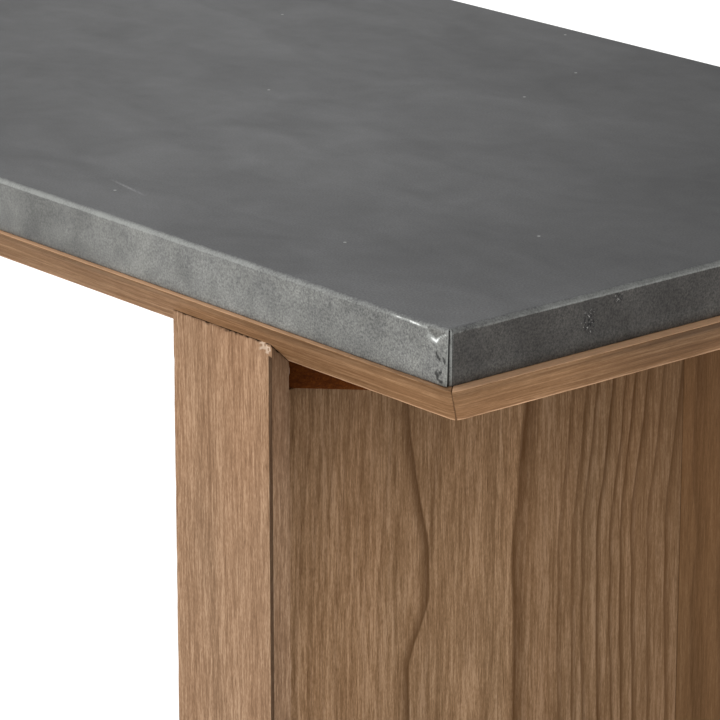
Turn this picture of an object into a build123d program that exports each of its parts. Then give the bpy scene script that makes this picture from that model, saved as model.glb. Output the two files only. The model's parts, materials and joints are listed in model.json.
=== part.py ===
from build123d import *
import os

# Garden bench: a zinc-clad slab seat on a mitred, undercut hardwood frame, carried by two slab legs.
# +X runs along the seat, +Y from front to back, +Z up. The origin is on the floor under the seat's centre.
# All sizes are in millimetres.

# Overall sizes
bench_length = 1400.0
bench_depth = 450.0
seat_height = 450.0

# Zinc cover, a shallow pan folded from sheet
sheet = 0.9
bend_radius = 1.6
side_ledge = 3.9
end_ledge = 6.3
cover_gap = 0.2
seam_width = 0.35
cover_length = bench_length - 2 * end_ledge
cover_depth = bench_depth - 2 * side_ledge

# Core board inside the cover
core_height = 25.5
core_clearance = 0.1
core_round = 1.0
core_length = cover_length - 2 * (sheet + core_clearance)
core_depth = cover_depth - 2 * (sheet + core_clearance)
core_top = seat_height - sheet
frame_top = core_top - core_height

# Mitred frame with an undercut bevel
frame_height = 25.8
frame_width = 70.0
frame_lip = 0.3
bevel_run = 27.4
frame_bottom = frame_top - frame_height
flat_half_depth = bench_depth / 2 - bevel_run
inner_half_length = bench_length / 2 - frame_width
inner_half_depth = bench_depth / 2 - frame_width

# Loose splines in the mitres
mitre_spline_length = 42.0
mitre_spline_width = 24.0
mitre_spline_height = 5.0
mitre_spline_inset = 44.0

# Cross battens between the long frame members
leg_offset = 518.5
leg_batten_width = 150.0
centre_batten_width = 90.0
dowel_radius = 5.0
dowel_length = 50.0
batten_dowel_spread = 50.0
centre_dowel_spread = 25.0

# Legs
glide_height = 4.0
plate_height = 20.0
web_thickness = 45.0
web_joint = 76.6
web_top = frame_bottom - plate_height
tongue_width = 20.0
tongue_thickness = 8.0
tongue_stop = 20.0
cap_width = 74.0
cap_thickness = 11.7
cap_round = 1.3
cap_ease = 0.8
cap_dowel_radius = 4.0
cap_dowel_depth = 7.5
cap_dowel_length = 34.0
cap_dowel_count = 5

# Mounting plate between web and seat, with its four corners cut off at 45 degrees
plate_half_width = 54.4
plate_point = 8.1
plate_end_gap = 0.5

# Fasteners
fit_gap = 0.1
bolt_hole_play = 0.5
washer_play = 0.3
screw_radius = 2.2
screw_head_radius = 4.4
screw_head_height = 2.6
screw_tip = 3.0
top_screw_length = 40.0
plate_screw_length = 75.0
glide_screw_length = 24.0
bolt_radius = 3.0
bolt_head_radius = 5.5
bolt_head_height = 4.0
bolt_socket_radius = 2.3
bolt_socket_depth = 2.4
bolt_head_ease = 0.8
bolt_length = 34.0
washer_radius = 7.0
washer_height = 1.5
insert_radius = 5.0
insert_length = 16.0
bolt_spread_x = 38.0
bolt_spread_y = 125.0
pin_radius = 0.65
pin_head_radius = 1.2
pin_head_height = 0.35
pin_length = 12.0
pin_inset = 6.3
pin_drops = (13.6, 22.0)
pin_hole_length = 4 * sheet

# Glides
glide_radius = 15.0
glide_spread = 160.0
glide_ease = 1.0

# Places of repeated pieces
sides = (-1, 1)
mitre_angle = 45.0
frame_screw_inset = 50.0
long_screw_places = (-620.0, -400.0, -200.0, 0.0, 200.0, 400.0, 620.0)
end_screw_spread = 80.0
batten_screw_x = 65.0
batten_screw_y = 110.0
plate_screw_places = (-150.0, -50.0, 50.0, 150.0)

os.makedirs("parts", exist_ok=True)


def write_piece(piece, name):
    """Labels a finished piece and writes it as one STEP file."""
    piece.label = name
    export_step(piece, f"parts/{name}.step")


# ---------------------------------------------------------------------------
# Places of the screws that hold frame and battens to the core
# ---------------------------------------------------------------------------
frame_screw_y = bench_depth / 2 - frame_screw_inset
frame_screw_x = bench_length / 2 - frame_screw_inset
long_screws = [(x, side * frame_screw_y) for side in sides for x in long_screw_places]
end_screws = [(side * frame_screw_x, y) for side in sides for y in (-end_screw_spread, end_screw_spread)]
leg_batten_screws = [
    (side * leg_offset + dx, dy)
    for side in sides
    for dx in (-batten_screw_x, batten_screw_x)
    for dy in (-batten_screw_y, batten_screw_y)
]
centre_batten_screws = [(0.0, -batten_screw_y), (0.0, batten_screw_y)]
top_screws = long_screws + end_screws + leg_batten_screws + centre_batten_screws


def screw_section(length, gap):
    """Half section of a countersunk screw, head at the origin, shank along +Y, grown by gap."""
    with BuildSketch(Plane.XZ) as section:
        with BuildLine():
            Polyline(
                (0, -gap),
                (screw_head_radius + gap, -gap),
                (screw_radius + gap, screw_head_height),
                (screw_radius + gap, length - screw_tip),
                (0, length + gap),
                close=True,
            )
        make_face()
    return section.sketch


def screw_solid(length, gap=0.0):
    """Countersunk screw that points up from the origin."""
    with BuildPart() as screw:
        add(screw_section(length, gap))
        revolve(axis=Axis.Z)
    return screw.part


top_screw = screw_solid(top_screw_length)
top_screw_room = screw_solid(top_screw_length, fit_gap)
plate_screw = Rot(180, 0, 0) * screw_solid(plate_screw_length)
plate_screw_room = Rot(180, 0, 0) * screw_solid(plate_screw_length, fit_gap)
glide_screw = screw_solid(glide_screw_length)
glide_screw_room = screw_solid(glide_screw_length, fit_gap)


def cut_top_screws(places):
    """Cuts room for the screws that come up through frame and battens into the core."""
    with Locations(*[(x, y, frame_bottom) for x, y in places]):
        add(top_screw_room, mode=Mode.SUBTRACT)


# ---------------------------------------------------------------------------
# Zinc cover and the pins beside its corner seams
# ---------------------------------------------------------------------------
def add_pins(radius, length, proud, mode):
    """Round pins through the long flaps beside each corner seam, standing out of the flap by proud."""
    spots = [
        Location(
            (
                end * (cover_length / 2 - pin_inset),
                side * (cover_depth / 2 + proud - length / 2),
                seat_height - drop,
            ),
            (90, 0, 0),
        )
        for side in sides
        for end in sides
        for drop in pin_drops
    ]
    with Locations(*spots):
        Cylinder(radius, length, mode=mode)


with BuildPart() as zinc_cover:
    with BuildSketch(Plane.XY.offset(frame_top + cover_gap)):
        Rectangle(cover_length, cover_depth)
    extrude(amount=seat_height - frame_top - cover_gap)
    fillet(zinc_cover.faces().sort_by(Axis.Z)[-1].edges(), radius=bend_radius)
    offset(amount=-sheet, openings=zinc_cover.faces().sort_by(Axis.Z)[0])
    # The end flaps stop short of the long flaps: an open seam at each corner
    with BuildSketch(Plane.XY.offset(frame_top)):
        with GridLocations(cover_length, cover_depth - 2 * sheet - seam_width, 2, 2):
            Rectangle(2 * sheet + seam_width, seam_width)
    extrude(amount=core_height - bend_radius, mode=Mode.SUBTRACT)
    add_pins(pin_radius + fit_gap, pin_hole_length, sheet, Mode.SUBTRACT)
write_piece(zinc_cover.part, "zinc_cover")


with BuildPart() as zinc_pins:
    add_pins(pin_radius, pin_length, 0.0, Mode.ADD)
    add_pins(pin_head_radius, pin_head_height, pin_head_height, Mode.ADD)
write_piece(zinc_pins.part, "zinc_pins")

# ---------------------------------------------------------------------------
# Core board
# ---------------------------------------------------------------------------
with BuildPart() as core_board:
    with BuildSketch(Plane.XY.offset(frame_top)):
        Rectangle(core_length, core_depth)
    extrude(amount=core_height)
    fillet(core_board.faces().sort_by(Axis.Z)[-1].edges(), radius=core_round)
    add_pins(pin_radius + fit_gap, pin_length + fit_gap, 0.0, Mode.SUBTRACT)
    cut_top_screws(top_screws)
write_piece(core_board.part, "core_board")


# ---------------------------------------------------------------------------
# Mitred frame
# ---------------------------------------------------------------------------
def mitre_spline_places():
    """Centres and turns of the loose splines that cross the four mitres."""
    height = (frame_top + frame_bottom) / 2
    for x_side in sides:
        for y_side in sides:
            x = x_side * (bench_length / 2 - mitre_spline_inset)
            y = y_side * (bench_depth / 2 - mitre_spline_inset)
            yield Location((x, y, height), (0, 0, x_side * y_side * mitre_angle))


def add_mitre_splines(gap, mode):
    with Locations(*mitre_spline_places()):
        Box(
            mitre_spline_length + 2 * gap,
            mitre_spline_width + 2 * gap,
            mitre_spline_height + 2 * gap,
            mode=mode,
        )


def batten_dowel_places():
    """Points on the inner edges of the long frame members where the batten dowels cross."""
    height = (frame_top + frame_bottom) / 2
    rows = ((-leg_offset, batten_dowel_spread), (0.0, centre_dowel_spread), (leg_offset, batten_dowel_spread))
    for batten_x, spread in rows:
        for dx in (-spread, spread):
            for side in sides:
                yield Location((batten_x + dx, side * inner_half_depth, height), (90, 0, 0))


def add_batten_dowels(gap, mode):
    with Locations(*batten_dowel_places()):
        Cylinder(dowel_radius + gap, dowel_length + 2 * gap, mode=mode)


def frame_profile(half_size):
    """Section of a frame member: outer edge at half_size, bevel undercut, flat underside."""
    Polyline(
        (half_size, frame_top),
        (half_size, frame_top - frame_lip),
        (half_size - bevel_run, frame_bottom),
        (half_size - frame_width, frame_bottom),
        (half_size - frame_width, frame_top),
        close=True,
    )


def long_member(side, name):
    """Frame member along X, mitred at both ends. side is -1 for the front and 1 for the back."""
    with BuildPart() as member:
        with BuildSketch(Plane.YZ if side > 0 else Plane.YZ.rotated((0, 0, 180))):
            with BuildLine():
                frame_profile(bench_depth / 2)
            make_face()
        extrude(amount=bench_length / 2, both=True)
        with BuildSketch(Plane.XY.offset(frame_bottom)):
            with BuildLine():
                Polyline(
                    (-bench_length / 2, side * bench_depth / 2),
                    (bench_length / 2, side * bench_depth / 2),
                    (inner_half_length, side * inner_half_depth),
                    (-inner_half_length, side * inner_half_depth),
                    close=True,
                )
            make_face()
        extrude(amount=frame_height, mode=Mode.INTERSECT)
        add_mitre_splines(fit_gap, Mode.SUBTRACT)
        add_batten_dowels(fit_gap, Mode.SUBTRACT)
        cut_top_screws([(x, y) for x, y in long_screws if y * side > 0])
    write_piece(member.part, name)


def end_member(side, name):
    """Frame member along Y, mitred at both ends. side is -1 for the left and 1 for the right."""
    with BuildPart() as member:
        with BuildSketch(Plane.XZ if side > 0 else Plane.XZ.rotated((0, 0, 180))):
            with BuildLine():
                frame_profile(bench_length / 2)
            make_face()
        extrude(amount=bench_depth / 2, both=True)
        with BuildSketch(Plane.XY.offset(frame_bottom)):
            with BuildLine():
                Polyline(
                    (side * bench_length / 2, -bench_depth / 2),
                    (side * bench_length / 2, bench_depth / 2),
                    (side * inner_half_length, inner_half_depth),
                    (side * inner_half_length, -inner_half_depth),
                    close=True,
                )
            make_face()
        extrude(amount=frame_height, mode=Mode.INTERSECT)
        add_mitre_splines(fit_gap, Mode.SUBTRACT)
        cut_top_screws([(x, y) for x, y in end_screws if x * side > 0])
    write_piece(member.part, name)


long_member(-1, "frame_front")
long_member(1, "frame_back")
end_member(-1, "frame_left")
end_member(1, "frame_right")

with BuildPart() as mitre_splines:
    add_mitre_splines(0.0, Mode.ADD)
write_piece(mitre_splines.part, "mitre_splines")

# ---------------------------------------------------------------------------
# Cross battens, their dowels and all screws into the core
# ---------------------------------------------------------------------------
bolt_places = [(side * bolt_spread_x, end * bolt_spread_y) for side in sides for end in sides]


def batten(centre_x, width, screws, bolts, name):
    """Batten flush with the frame, between its long members. bolts are places of inserts from its centre."""
    with BuildPart() as piece:
        with BuildSketch(Plane(origin=(centre_x, 0, frame_bottom))):
            Rectangle(width, 2 * inner_half_depth)
        extrude(amount=frame_height)
        add_batten_dowels(fit_gap, Mode.SUBTRACT)
        cut_top_screws(screws)
        if bolts:
            with BuildSketch(Plane(origin=(centre_x, 0, frame_bottom))):
                with Locations(*bolts):
                    Circle(insert_radius + fit_gap)
            extrude(amount=insert_length + 2 * fit_gap, mode=Mode.SUBTRACT)
    write_piece(piece.part, name)


batten(-leg_offset, leg_batten_width, leg_batten_screws[:4], bolt_places, "batten_left")
batten(0.0, centre_batten_width, centre_batten_screws, [], "batten_centre")
batten(leg_offset, leg_batten_width, leg_batten_screws[4:], bolt_places, "batten_right")

with BuildPart() as batten_dowels:
    add_batten_dowels(0.0, Mode.ADD)
write_piece(batten_dowels.part, "batten_dowels")

with BuildPart() as frame_screws:
    with Locations(*[(x, y, frame_bottom) for x, y in top_screws]):
        add(top_screw)
write_piece(frame_screws.part, "frame_screws")


# ---------------------------------------------------------------------------
# Legs
# ---------------------------------------------------------------------------
def add_cap_dowels(leg_x, ends, gap, mode):
    """Dowels that cross from the web's edge into a cap, evenly spaced up the leg."""
    rise = (web_top - glide_height) / cap_dowel_count
    spots = [
        Location(
            (
                leg_x,
                end * (flat_half_depth + cap_dowel_depth - cap_dowel_length / 2),
                glide_height + (row + 0.5) * rise,
            ),
            (90, 0, 0),
        )
        for end in ends
        for row in range(cap_dowel_count)
    ]
    with Locations(*spots):
        Cylinder(cap_dowel_radius + gap, cap_dowel_length + 2 * gap, mode=mode)


def add_tongue(leg_x, gap, mode):
    """Loose tongue in the joint between the two boards of the web."""
    height = web_top - glide_height - 2 * tongue_stop
    with Locations((leg_x, web_joint, (web_top + glide_height) / 2)):
        Box(tongue_thickness + 2 * gap, tongue_width + 2 * gap, height + 2 * gap, mode=mode)


def cut_web_screws(leg_x, low_y, high_y):
    """Cuts room for the screws that come down through the plate and up through the glides."""
    plate_spots = [(leg_x, y, frame_bottom) for y in plate_screw_places if low_y < y < high_y]
    glide_spots = [(leg_x, y, 0) for y in (-glide_spread, glide_spread) if low_y < y < high_y]
    with Locations(*plate_spots):
        add(plate_screw_room, mode=Mode.SUBTRACT)
    with Locations(*glide_spots):
        add(glide_screw_room, mode=Mode.SUBTRACT)


def web_board(leg_x, low_y, high_y, name):
    """One of the two upright boards of a leg's web."""
    with BuildPart() as board:
        with BuildSketch(Plane(origin=(leg_x, (low_y + high_y) / 2, glide_height))):
            Rectangle(web_thickness, high_y - low_y)
        extrude(amount=web_top - glide_height)
        add_tongue(leg_x, fit_gap, Mode.SUBTRACT)
        add_cap_dowels(leg_x, sides, fit_gap, Mode.SUBTRACT)
        cut_web_screws(leg_x, low_y, high_y)
    write_piece(board.part, name)


def cap(leg_x, side, name):
    """Narrow end board of a leg, its top scribed to the frame's bevel."""
    inner = flat_half_depth
    outer = flat_half_depth + cap_thickness
    bevel_rise = (frame_height - frame_lip) / bevel_run
    top = frame_bottom + cap_thickness * bevel_rise
    with BuildPart() as board:
        with BuildSketch(Plane.YZ.offset(leg_x)):
            with BuildLine():
                Polyline(
                    (side * inner, glide_height),
                    (side * outer, glide_height),
                    (side * outer, top),
                    (side * inner, frame_bottom),
                    close=True,
                )
            make_face()
        extrude(amount=cap_width / 2, both=True)
        outer_edges = board.edges().filter_by(Axis.Z).group_by(Axis.Y)[-1 if side > 0 else 0]
        fillet(outer_edges, radius=cap_round)
        inner_edges = board.edges().filter_by(Axis.Z).group_by(Axis.Y)[0 if side > 0 else -1]
        chamfer(inner_edges, length=cap_ease)
        add_cap_dowels(leg_x, [side], fit_gap, Mode.SUBTRACT)
    write_piece(board.part, name)


def mounting_plate(leg_x, name):
    """Plate between web and seat, its corners cut at 45 degrees so that it narrows towards both caps."""
    half_length = flat_half_depth - plate_end_gap
    shoulder = half_length + plate_end_gap - (plate_half_width - plate_point)
    outline = [
        (plate_point + plate_end_gap, half_length),
        (plate_half_width, shoulder),
        (plate_half_width, -shoulder),
        (plate_point + plate_end_gap, -half_length),
    ]
    with BuildPart() as plate:
        with BuildSketch(Plane(origin=(leg_x, 0, web_top))):
            with BuildLine():
                Polyline(*outline, *[(-x, y) for x, y in reversed(outline)], close=True)
            make_face()
        extrude(amount=plate_height)
        with Locations(*[(leg_x, y, frame_bottom) for y in plate_screw_places]):
            add(plate_screw_room, mode=Mode.SUBTRACT)
        with BuildSketch(Plane(origin=(leg_x, 0, web_top))):
            with Locations(*bolt_places):
                Circle(bolt_radius + bolt_hole_play)
        extrude(amount=plate_height, mode=Mode.SUBTRACT)
    write_piece(plate.part, name)


def group_of(solid, places, name):
    """Identical small pieces as one group of separate solids."""
    with BuildPart() as group:
        with Locations(*places):
            add(solid)
    write_piece(group.part, name)


# Small parts, each drawn once at the origin
with BuildPart() as washer:
    with BuildSketch():
        Circle(washer_radius)
        Circle(bolt_radius + washer_play, mode=Mode.SUBTRACT)
    extrude(amount=-washer_height)

with BuildPart() as bolt:
    with BuildSketch(Plane.XY.offset(-washer_height)):
        Circle(bolt_head_radius)
    extrude(amount=-bolt_head_height)
    fillet(bolt.faces().sort_by(Axis.Z)[0].edges(), radius=bolt_head_ease)
    with BuildSketch(Plane.XY.offset(-washer_height - bolt_head_height)):
        RegularPolygon(bolt_socket_radius, 6)
    extrude(amount=bolt_socket_depth, mode=Mode.SUBTRACT)
    with BuildSketch(Plane.XY.offset(-washer_height)):
        Circle(bolt_radius)
    extrude(amount=bolt_length)

with BuildPart() as insert:
    with BuildSketch():
        Circle(insert_radius)
        Circle(bolt_radius + fit_gap, mode=Mode.SUBTRACT)
    extrude(amount=insert_length)

with BuildPart() as glide:
    with BuildSketch():
        Circle(glide_radius)
    extrude(amount=glide_height)
    chamfer(glide.faces().sort_by(Axis.Z)[0].edges(), length=glide_ease)
    add(glide_screw_room, mode=Mode.SUBTRACT)

for leg_side, leg_name in ((-1, "left"), (1, "right")):
    leg_x = leg_side * leg_offset
    web_board(leg_x, -flat_half_depth, web_joint, f"{leg_name}_web_wide")
    web_board(leg_x, web_joint, flat_half_depth, f"{leg_name}_web_narrow")
    with BuildPart() as tongue:
        add_tongue(leg_x, 0.0, Mode.ADD)
    write_piece(tongue.part, f"{leg_name}_web_tongue")
    cap(leg_x, -1, f"{leg_name}_cap_front")
    cap(leg_x, 1, f"{leg_name}_cap_back")
    with BuildPart() as cap_dowels:
        add_cap_dowels(leg_x, sides, 0.0, Mode.ADD)
    write_piece(cap_dowels.part, f"{leg_name}_cap_dowels")
    mounting_plate(leg_x, f"{leg_name}_mounting_plate")
    bolt_spots = [(leg_x + x, y) for x, y in bolt_places]
    group_of(plate_screw, [(leg_x, y, frame_bottom) for y in plate_screw_places], f"{leg_name}_plate_screws")
    group_of(bolt.part, [(x, y, web_top) for x, y in bolt_spots], f"{leg_name}_plate_bolts")
    group_of(washer.part, [(x, y, web_top) for x, y in bolt_spots], f"{leg_name}_plate_washers")
    group_of(insert.part, [(x, y, frame_bottom) for x, y in bolt_spots], f"{leg_name}_inserts")
    glide_spots = [(leg_x, side * glide_spread, 0) for side in sides]
    group_of(glide.part, glide_spots, f"{leg_name}_glides")
    group_of(glide_screw, glide_spots, f"{leg_name}_glide_screws")
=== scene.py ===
import json
import math

import bmesh
import bpy
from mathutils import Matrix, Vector, noise


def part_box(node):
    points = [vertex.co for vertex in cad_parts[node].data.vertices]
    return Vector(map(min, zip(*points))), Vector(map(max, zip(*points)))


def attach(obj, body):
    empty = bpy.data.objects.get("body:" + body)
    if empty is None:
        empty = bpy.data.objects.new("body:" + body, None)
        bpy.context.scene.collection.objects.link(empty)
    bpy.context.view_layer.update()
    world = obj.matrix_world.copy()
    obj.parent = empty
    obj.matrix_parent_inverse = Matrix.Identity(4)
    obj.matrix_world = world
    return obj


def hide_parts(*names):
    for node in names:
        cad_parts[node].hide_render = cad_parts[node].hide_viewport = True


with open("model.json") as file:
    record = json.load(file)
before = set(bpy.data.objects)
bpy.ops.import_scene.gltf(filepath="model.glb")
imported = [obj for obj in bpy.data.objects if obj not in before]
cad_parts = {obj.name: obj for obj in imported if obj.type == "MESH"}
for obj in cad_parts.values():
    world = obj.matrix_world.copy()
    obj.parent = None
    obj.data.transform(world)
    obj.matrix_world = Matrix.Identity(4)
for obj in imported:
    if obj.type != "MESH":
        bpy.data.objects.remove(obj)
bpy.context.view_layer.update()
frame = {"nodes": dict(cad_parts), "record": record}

# Garden bench: zinc-clad slab seat, mitred frame with an undercut bevel, two slab legs.
# Lengths are in metres, in the CAD frame: X along the seat, Y from front to back, Z up.
MM = 0.001
SIDES = (-1, 1)
LEGS = (("left", -1), ("right", 1))
scene = bpy.context.scene


def mm(*sizes):
    """Sizes in millimetres, given in metres."""
    return tuple(size * MM for size in sizes)


# ---- Places read from the frame ----
cover_low, cover_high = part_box("zinc_cover")
frame_low, frame_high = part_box("frame_front")
half_length = frame_high.x
half_depth = -frame_low.y
frame_bottom = frame_low.z
frame_top = frame_high.z
frame_width = frame_high.y - frame_low.y
bevel_run = half_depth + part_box("right_web_wide")[0].y


# ---- Camera ----
CAMERA_YAW = 49.72
CAMERA_PITCH = 17.514
LENS = 202.76
CAMERA_FROM_CORNER = Vector((1.2588, -1.1173, 0.5174))


def make_camera():
    """Long lens on the front right corner of the seat, looking down and across the bench."""
    corner = Vector((cover_high.x, cover_low.y, cover_high.z))
    data = bpy.data.cameras.new("camera")
    data.lens = LENS
    data.clip_start = 0.05
    data.clip_end = 100.0
    camera = bpy.data.objects.new("camera", data)
    camera.location = corner + CAMERA_FROM_CORNER
    camera.rotation_euler = (math.radians(90 - CAMERA_PITCH), 0, math.radians(CAMERA_YAW))
    scene.collection.objects.link(camera)
    scene.camera = camera


# ---- Colours and node graphs ----
def blend(first, second, share):
    """Plain colour between two others."""
    return tuple(a + (b - a) * share for a, b in zip(first, second))


def times(tone, share):
    """Plain colour times a share."""
    return tuple(min(1.0, share * c) for c in tone)


class Graph:
    """Builds the nodes of one material or world with short calls."""

    def __init__(self, owner, coordinates="Object"):
        owner.use_nodes = True
        self.owner = owner
        self.tree = owner.node_tree
        self.tree.nodes.clear()
        self.coords = self.node("ShaderNodeTexCoord").outputs[coordinates]

    def node(self, kind, inputs=None, **settings):
        """Adds a node. inputs are links or plain values for its sockets, settings its options."""
        made = self.tree.nodes.new(kind)
        for key, value in settings.items():
            setattr(made, key, value)
        for socket, value in (inputs or {}).items():
            if isinstance(value, bpy.types.NodeSocket):
                self.tree.links.new(value, made.inputs[socket])
            else:
                made.inputs[socket].default_value = value
        return made

    def math(self, operation, first, second=0.0):
        return self.node("ShaderNodeMath", {0: first, 1: second}, operation=operation).outputs[0]

    def add(self, first, second):
        return self.math("ADD", first, second)

    def subtract(self, first, second):
        return self.math("SUBTRACT", first, second)

    def multiply(self, first, second):
        return self.math("MULTIPLY", first, second)

    def vector(self, operation, first, second):
        made = self.node("ShaderNodeVectorMath", {0: first, 1: second}, operation=operation)
        return made.outputs["Vector" if operation == "SUBTRACT" else "Value"]

    def scaled(self, vector, scale):
        return self.node("ShaderNodeMapping", {"Vector": vector, "Scale": scale}).outputs[0]

    def noise(self, vector, scale, detail, rough=0.55, distort=0.0, w=None):
        inputs = {"Vector": vector, "Scale": scale, "Detail": detail, "Roughness": rough}
        inputs["Distortion"] = distort
        if w is not None:
            inputs["W"] = w
        dimensions = "3D" if w is None else "4D"
        made = self.node("ShaderNodeTexNoise", inputs, noise_dimensions=dimensions)
        return made.outputs["Fac"]

    def clouds(self, vector, scale, detail, rough=0.55, distort=0.0):
        """Noise with its usual range spread to 0..1."""
        return self.spread(self.noise(vector, scale, detail, rough, distort), 0.3, 0.7)

    def spread(self, value, low, high, to_low=0.0, to_high=1.0, curve="LINEAR"):
        """Stretches low..high to to_low..to_high, clamped."""
        inputs = {"Value": value, "From Min": low, "From Max": high}
        inputs.update({"To Min": to_low, "To Max": to_high})
        made = self.node("ShaderNodeMapRange", inputs, clamp=True, interpolation_type=curve)
        return made.outputs["Result"]

    def between(self, value, low, peak, high, curve="LINEAR"):
        """Rises from 0 at low to 1 at peak and falls to 0 at high."""
        rise = self.spread(value, low, peak, curve=curve)
        return self.multiply(rise, self.spread(value, peak, high, 1.0, 0.0, curve))

    def mix(self, factor, first, second, blend="MIX"):
        """Mixes two colours, each a link, a plain colour or a plain grey."""
        inputs = {"Factor": factor}
        for socket, value in ((6, first), (7, second)):
            if isinstance(value, float):
                value = (value,) * 3
            inputs[socket] = (*value, 1.0) if isinstance(value, tuple) else value
        return self.node("ShaderNodeMix", inputs, data_type="RGBA", blend_type=blend).outputs[2]

    def varied(self, tone, mask, low, high):
        """Multiplies a tone by a tint that goes from low to high along a mask."""
        return self.mix(1.0, tone, self.mix(mask, low, high), "MULTIPLY")

    def attribute(self, name):
        return self.node("ShaderNodeAttribute", attribute_name=name).outputs["Fac"]

    def bump(self, height, distance, strength):
        inputs = {"Strength": strength, "Distance": distance, "Height": height}
        return self.node("ShaderNodeBump", inputs).outputs["Normal"]

    def finish(self, colour, roughness, normal, metallic=0.0, specular=0.5):
        inputs = {"Base Color": colour, "Roughness": roughness, "Normal": normal}
        inputs.update({"Metallic": metallic, "Specular IOR Level": specular})
        self.output("ShaderNodeOutputMaterial", self.node("ShaderNodeBsdfPrincipled", inputs))
        return self.owner

    def output(self, kind, shader):
        self.node(kind, {"Surface": shader.outputs[0]})


# ---- Wood ----
GRAIN_TURNS = {
    "Z": (0.0, 0.0, 0.0),
    "X": (0.0, math.radians(-90), 0.0),
    "Y": (math.radians(90), 0.0, 0.0),
}
# Light, middle and dark tone of each wood, then the tone of its rubbed edges
CAP_TONES = ((0.488, 0.312, 0.193), (0.338, 0.202, 0.117), (0.120, 0.058, 0.027), (0.54, 0.37, 0.25))
WEB_TONES = ((0.480, 0.304, 0.178), (0.322, 0.190, 0.099), (0.090, 0.038, 0.011), (0.48, 0.31, 0.18))
NARROW_TONES = ((0.270, 0.150, 0.072), (0.192, 0.099, 0.043), (0.064, 0.027, 0.008), (0.29, 0.17, 0.10))
# The frame's last tone, for worn edges, is made extra bright: worn ledges, and painted light against
# the shade under the zinc flaps
FRAME_TONES = ((0.376, 0.217, 0.112), (0.256, 0.135, 0.062), (0.086, 0.034, 0.010), (0.82, 0.50, 0.30))
# Very dark tones of the mounting plate: a dark wood, made darker as painted shade for the deep shade
# under the seat
PLATE_SHADE_TONES = ((0.108, 0.030, 0.003), (0.078, 0.019, 0.002), (0.030, 0.007, 0.001), (0.13, 0.045, 0.01))
RAW_TONES = ((0.560, 0.420, 0.270), (0.460, 0.330, 0.200), (0.280, 0.180, 0.100), (0.60, 0.46, 0.30))
FRESH_WOOD = (0.66, 0.50, 0.37)
# Layers of noise, as (size across the fibres, size along them, detail, shift of the seed)
LAYERS = {
    "wander across": (*mm(400, 160), 2.0, 0.5),
    "wander deep": (*mm(400, 120), 2.0, 7.3),
    "ripple": (*mm(14, 90), 3.0, 2.1),
    "speck": (*mm(0.65, 2.2), 1.0, 1.0),
    "fine": (*mm(0.8, 11), 2.0, 0.0),
    "streak": (*mm(2.2, 45), 3.0, 4.0),
    "band": (*mm(9, 300), 3.0, 5.0),
    "cloud": (*mm(60, 250), 2.0, 6.0),
    "pore": (*mm(0.65, 9), 2.0, 9.0),
    "fleck": (*mm(0.9, 16), 2.0, 8.0),
    "fade": (*mm(200, 50), 2.0, 3.3),
}
LAYER_LOW, LAYER_HIGH = 0.28, 0.72
# How far the log's centre wanders across and deep, and how far its years ripple
WANDER_ACROSS, WANDER_DEEP, RIPPLE = 2.5 * MM, 3.0 * MM, 0.9 * MM
# Where in a year its dark wood starts and is darkest
LATE_START, LATE_PEAK = 0.35, 0.88
# How strongly each mark changes the tone
PORE_SHARE, FLECK_SHARE, RING_SHARE, RUBBED_SHARE = 0.32, 0.35, 0.5, 0.8
# Depths, from the log's centre, between which the bold years fade in
YEARS_FADE = mm(-20, 12)
VEIN_WIDTH = 7 * MM
WOOD_RELIEF = 0.10 * MM


def log_axes(g, grain, pith):
    """Object coordinates from the log's centre, turned so that the fibres follow Z."""
    inputs = {"Vector": g.vector("SUBTRACT", g.coords, pith), "Rotation": GRAIN_TURNS[grain]}
    return g.node("ShaderNodeVectorRotate", inputs, rotation_type="EULER_XYZ").outputs[0]


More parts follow.
